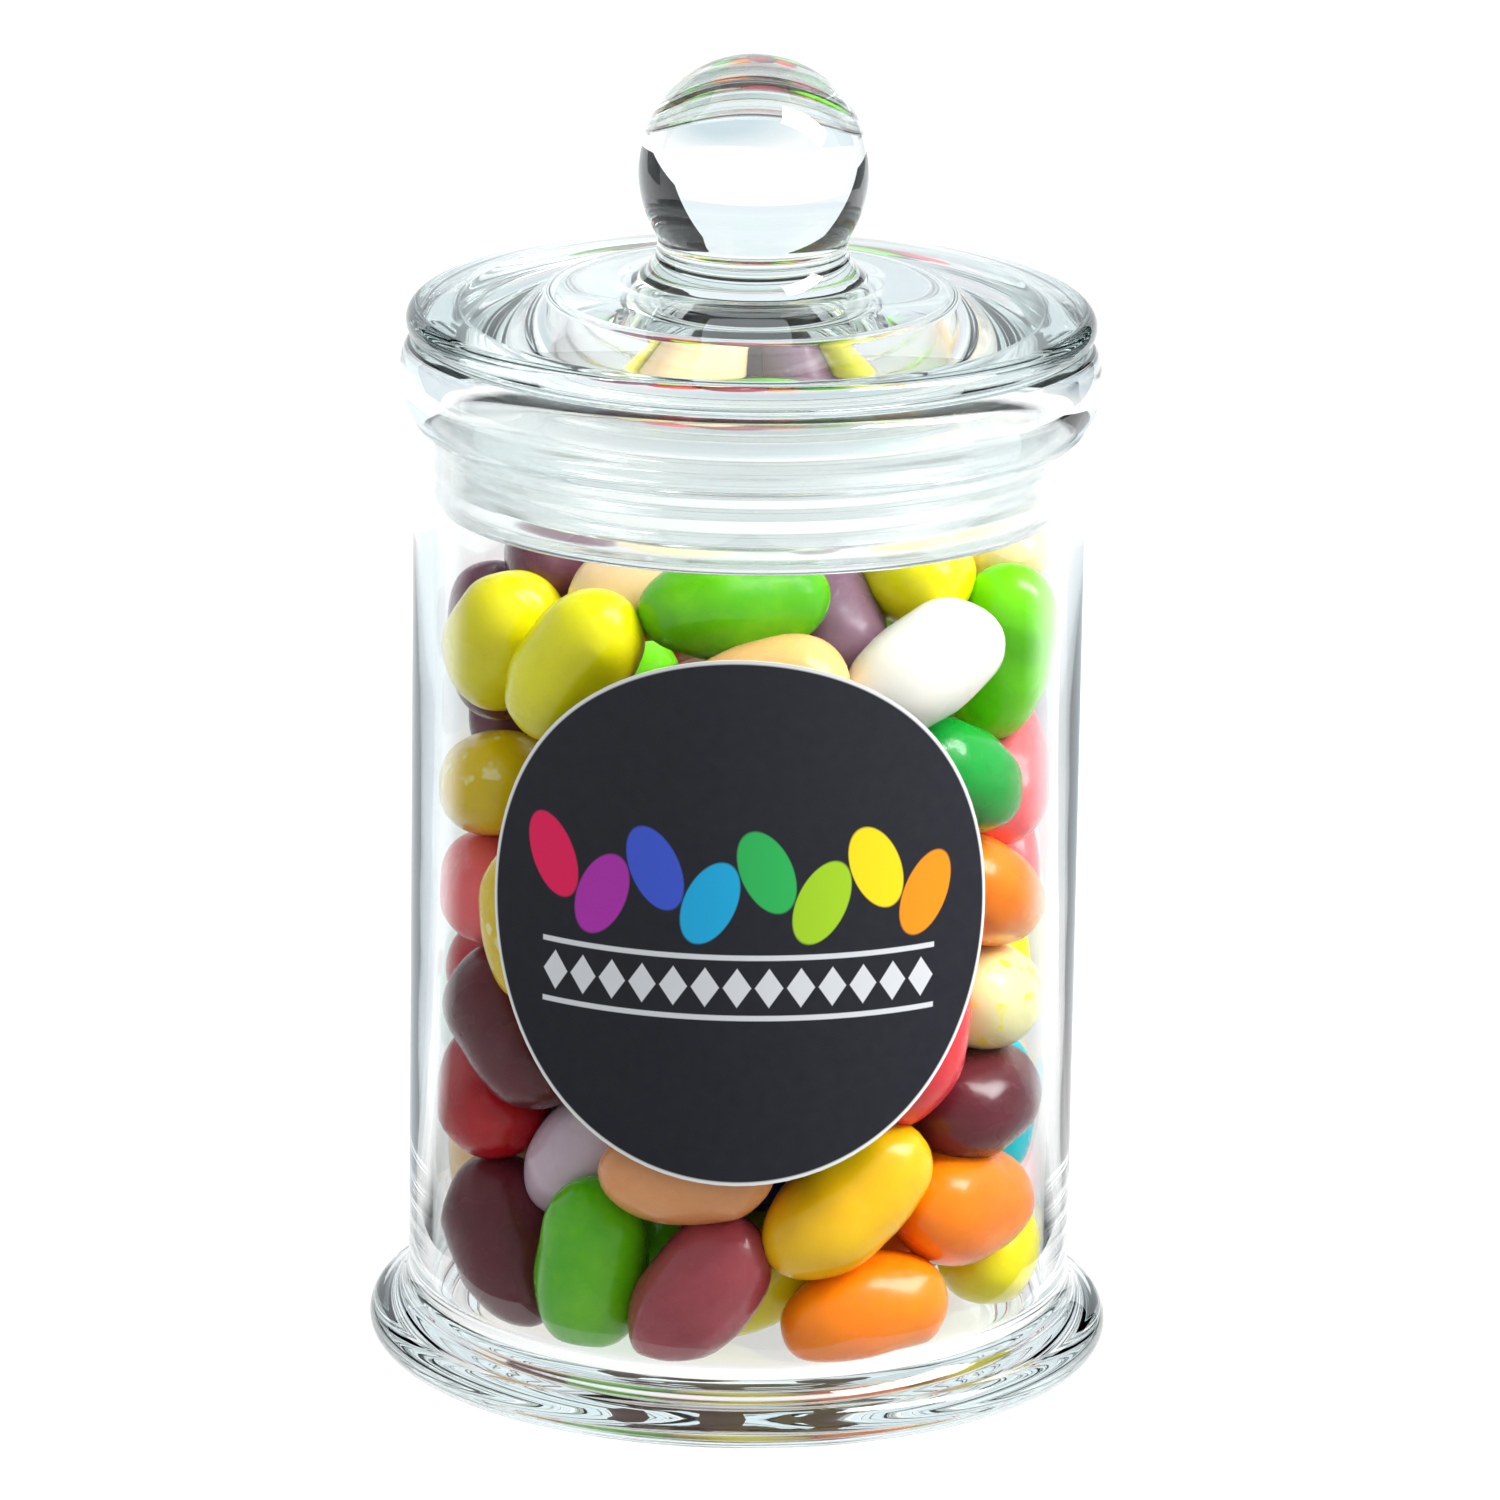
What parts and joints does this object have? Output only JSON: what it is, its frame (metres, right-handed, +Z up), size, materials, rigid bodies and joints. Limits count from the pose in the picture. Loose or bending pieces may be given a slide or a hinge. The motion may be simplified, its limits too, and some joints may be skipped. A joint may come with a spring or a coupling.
{
  "type": "jar of jelly beans",
  "caption": "Round clear glass jar with a ball-knob lid, a ribbed seal and a round label, filled with jelly beans.",
  "frame": {"origin": "centre of the foot's underside, on the surface the jar stands on", "axes": "+Z up along the jar's axis; the label faces -Y; +X to the right as the label is read"},
  "size_m": [0.0648, 0.0648, 0.115],
  "materials": {
    "jar_glass": "clear, polished",
    "lid_glass": "clear, polished",
    "seal_plastic": "soft, milky clear, ribbed",
    "label_print": "satin black sticker with a coloured print",
    "bean_candy": "polished sugar shells in many colours"
  },
  "bodies": {
    "root": {"jar": "jar_glass", "lid": "lid_glass", "seal": "seal_plastic", "label": "label_print", "jelly_beans": "bean_candy"}
  },
  "joints": []
}
